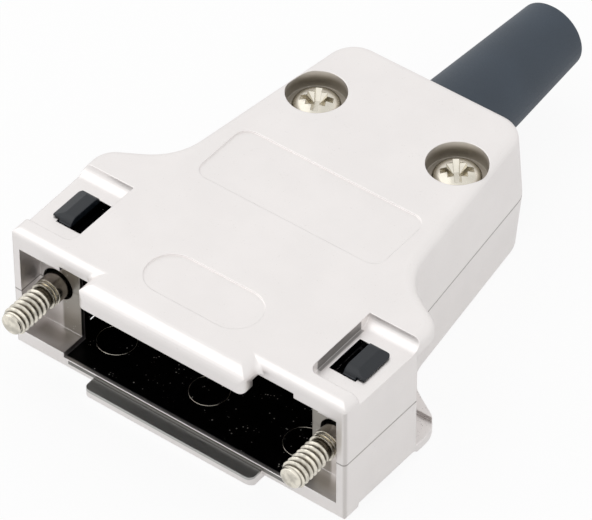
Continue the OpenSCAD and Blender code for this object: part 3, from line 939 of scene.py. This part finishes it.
# The cross recess: the half sides of each tapered block at its top and foot, and its depth.
RECESS_TOP = 1.12
RECESS_BLOCKS = (
    ((1.75, 0.34), (0.7, 0.26), 1.0),
    ((0.34, 1.75), (0.26, 0.7), 1.0),
    ((0.98, 0.98), (0.3, 0.3), 0.85),
)
RECESS_TURNS = {"left": math.radians(28), "right": math.radians(40)}


def closing_screw_mesh(name, foot, seat, turn, sides):
    """A closing screw about Z, from its foot to its domed head over its seat."""
    bm = bmesh.new()
    profile = [(foot + z * MM, r * MM) for z, r in SHANK_PROFILE]
    profile += [(seat + z * MM, r * MM) for z, r in HEAD_PROFILE]
    turned(bm, profile, sides)
    bmesh.ops.rotate(bm, verts=bm.verts[:], matrix=Matrix.Rotation(math.radians(90), 3, "X"))
    cutters = []
    for half_top, half_foot, depth in RECESS_BLOCKS:
        block = tapered_block(half_top, half_foot, depth, 0.6, turn)
        bmesh.ops.translate(block, verts=block.verts[:], vec=(0, 0, seat + RECESS_TOP * MM))
        cutters.append(finished_mesh("recess", block))
    return boolean_cut(finished_mesh(name, bm), cutters, name)


class HOOD_OT_closing_screws(bpy.types.Operator):
    """Makes the domed heads of the screws that close the shells, with their cross recesses."""

    bl_idname = "hood.closing_screws"
    bl_label = "Closing screws"

    def execute(self, context):
        sides = context.scene.hood_screws.round_steps
        for side, turn in RECESS_TURNS.items():
            node = "shell_screw_" + side
            low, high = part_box(node)
            centre = (low + high) / 2
            mesh = closing_screw_mesh(node, low.z, high.z - SEAT_DEPTH * MM, turn, sides)
            mesh.transform(Matrix.Translation((centre.x, centre.y, 0)))
            mesh.shade_smooth()
            mesh.set_sharp_from_angle(angle=math.radians(25))
            mesh.materials.clear()
            piece = new_piece("closing_screw_" + side, mesh, "bright_nickel", "hood")
            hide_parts(node)
        for name in ("clamp_screw_left", "clamp_screw_right"):
            paint_node(name, "bright_nickel")
        return {"FINISHED"}


class HOOD_OT_ejector_marks(bpy.types.Operator):
    """Makes the ring marks that the ejector pins leave on the floor of the mouth."""

    bl_idname = "hood.ejector_marks"
    bl_label = "Ejector marks"

    def execute(self, context):
        tree = ejector_tree(material("bright_nickel"))
        values = {
            "Count": 3,
            "First": (-11.3 * MM, 4.9 * MM, -6.02 * MM),
            "Step": (11.3 * MM, 0.0, 0.0),
            "Radius": 2.0 * MM,
            "Ridge": 0.04 * MM,
        }
        mesh = run_tree(tree, values, "ejector_marks")
        new_piece("ejector_marks", mesh, "bright_nickel", "hood")
        return {"FINISHED"}


class HOOD_OT_latches(bpy.types.Operator):
    """Finishes the two nylon latches."""

    bl_idname = "hood.latches"
    bl_label = "Latches"

    def execute(self, context):
        for name in ("latch_left", "latch_right"):
            paint_node(name, "black_nylon")
        return {"FINISHED"}


class HOOD_OT_cable_entry(bpy.types.Operator):
    """Finishes the bend relief boot and the cable clamp."""

    bl_idname = "hood.cable_entry"
    bl_label = "Cable entry"

    def execute(self, context):
        paint_node("bend_relief_boot", "grey_rubber")
        paint_node("cable_clamp", "cast_nickel")
        return {"FINISHED"}


# Share of its own white glow that the floor shows to the camera and in mirrors.
CAMERA_GLOW = 0.9
MIRROR_GLOW = 0.46
# Strength of the world for diffuse light, against 1 for what the camera and mirrors see.
WORLD_DIFFUSE = 0.78
# The lamps, as name, width in metres, power in watts and place.
LAMPS = (
    ("key", 1.1, 1.5, (-0.55, -0.20, 0.52)),
    ("fill", 1.0, 0.5, (0.20, -0.50, 0.60)),
)
FLOOR_HALF = 3.0


class HOOD_OT_stage(bpy.types.Operator):
    """Makes the floor, the lamps, the world and the camera."""

    bl_idname = "hood.stage"
    bl_label = "Stage"

    def execute(self, context):
        self.floor()
        self.world(context.scene)
        self.lamps()
        self.camera(context.scene)
        view = context.scene.view_settings
        view.view_transform = "Standard"
        return {"FINISHED"}

    def floor(self):
        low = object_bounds()[0]
        half = FLOOR_HALF
        bm = bmesh.new()
        corners = [(-half, -half), (half, -half), (half, half), (-half, half)]
        bm.faces.new([bm.verts.new((x, y, low.z)) for x, y in corners])
        mesh = bpy.data.meshes.new("floor")
        bm.to_mesh(mesh)
        bm.free()
        floor = bpy.data.objects.new("floor", mesh)
        bpy.context.scene.collection.objects.link(floor)
        paint, tree, shader = new_material("floor_white")
        shader.inputs["Base Color"].default_value = (0.94, 0.94, 0.94, 1)
        shader.inputs["Roughness"].default_value = 0.9
        shader.inputs["Specular IOR Level"].default_value = 0.1
        # The floor glows white in the camera and in mirrors, and keeps a part of its shadow there.
        path = add(tree, "ShaderNodeLightPath").outputs
        mirrored = calc(tree, "MAXIMUM", path["Is Glossy Ray"], path["Is Transmission Ray"])
        to_camera = calc(tree, "MULTIPLY", path["Is Camera Ray"], CAMERA_GLOW)
        to_mirrors = calc(tree, "MULTIPLY", mirrored, MIRROR_GLOW)
        share = calc(tree, "MAXIMUM", to_camera, to_mirrors)
        glow = add(tree, "ShaderNodeEmission", Strength=1.0)
        both = tree.nodes.new("ShaderNodeMixShader")
        tree.links.new(share, both.inputs[0])
        tree.links.new(shader.outputs[0], both.inputs[1])
        tree.links.new(glow.outputs[0], both.inputs[2])
        tree.links.new(both.outputs[0], tree.nodes["Material Output"].inputs["Surface"])
        mesh.materials.append(paint)
        floor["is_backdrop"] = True

    def world(self, scene):
        scene.world = bpy.data.worlds.new("studio")
        scene.world.use_nodes = True
        tree = scene.world.node_tree
        background = tree.nodes["Background"]
        background.inputs["Color"].default_value = (1, 1, 1, 1)
        path = add(tree, "ShaderNodeLightPath")
        seen = calc(tree, "MAXIMUM", path.outputs["Is Camera Ray"], path.outputs["Is Glossy Ray"])
        seen = calc(tree, "MAXIMUM", seen, path.outputs["Is Transmission Ray"])
        strength = ramp(tree, seen, 0.0, 1.0, WORLD_DIFFUSE, 1.0, smooth=False)
        tree.links.new(strength, background.inputs["Strength"])

    def lamp(self, name, size, energy, spot):
        light = bpy.data.lights.new(name, "AREA")
        light.shape = "DISK"
        light.size = size
        light.energy = energy
        lamp = bpy.data.objects.new(name, light)
        lamp.location = spot
        lamp.rotation_euler = (-Vector(spot)).to_track_quat("-Z", "Y").to_euler()
        bpy.context.scene.collection.objects.link(lamp)

    def lamps(self):
        for lamp in LAMPS:
            self.lamp(*lamp)

    def camera(self, scene):
        stage = scene.hood_stage
        data = bpy.data.cameras.new("camera")
        data.sensor_width = 36
        data.lens = stage.lens
        data.clip_start = 0.01
        data.clip_end = 20
        camera = bpy.data.objects.new("camera", data)
        scene.collection.objects.link(camera)
        sin_a, cos_a = math.sin(stage.azimuth), math.cos(stage.azimuth)
        sin_e, cos_e = math.sin(stage.elevation), math.cos(stage.elevation)
        back = Vector((sin_a * cos_e, -cos_a * cos_e, sin_e))
        level = Vector((cos_a, sin_a, 0))
        upright = back.cross(level)
        sin_r, cos_r = math.sin(stage.roll), math.cos(stage.roll)
        right = cos_r * level + sin_r * upright
        up = cos_r * upright - sin_r * level
        camera.location = right * stage.aim[0] + up * stage.aim[1] + back * stage.distance
        camera.rotation_mode = "QUATERNION"
        camera.rotation_quaternion = Matrix((right, up, back)).transposed().to_quaternion()
        scene.camera = camera


class HOOD_PT_sidebar(bpy.types.Panel):
    """Lists the steps that build the hood's looks."""

    bl_idname = "HOOD_PT_sidebar"
    bl_label = "Connector Hood"
    bl_space_type = "VIEW_3D"
    bl_region_type = "UI"
    bl_category = "Hood"

    def draw(self, context):
        for step in STEPS:
            self.layout.operator(step.bl_idname)


STEPS = (
    HOOD_OT_castings,
    HOOD_OT_jackscrews,
    HOOD_OT_closing_screws,
    HOOD_OT_ejector_marks,
    HOOD_OT_latches,
    HOOD_OT_cable_entry,
    HOOD_OT_stage,
)
GROUPS_OF_SETTINGS = {
    "hood_screws": HoodScrewSizes,
    "hood_finish": HoodFinish,
    "hood_stage": HoodStage,
}


def register():
    for cls in (*GROUPS_OF_SETTINGS.values(), *STEPS, HOOD_PT_sidebar):
        bpy.utils.register_class(cls)
    for name, cls in GROUPS_OF_SETTINGS.items():
        setattr(bpy.types.Scene, name, PointerProperty(type=cls))


def unregister():
    for name in GROUPS_OF_SETTINGS:
        delattr(bpy.types.Scene, name)
    for cls in (HOOD_PT_sidebar, *reversed(STEPS), *GROUPS_OF_SETTINGS.values()):
        bpy.utils.unregister_class(cls)


def main():
    register()
    for step in STEPS:
        area, name = step.bl_idname.split(".")
        getattr(getattr(bpy.ops, area), name)()


if __name__ == "__main__":
    main()
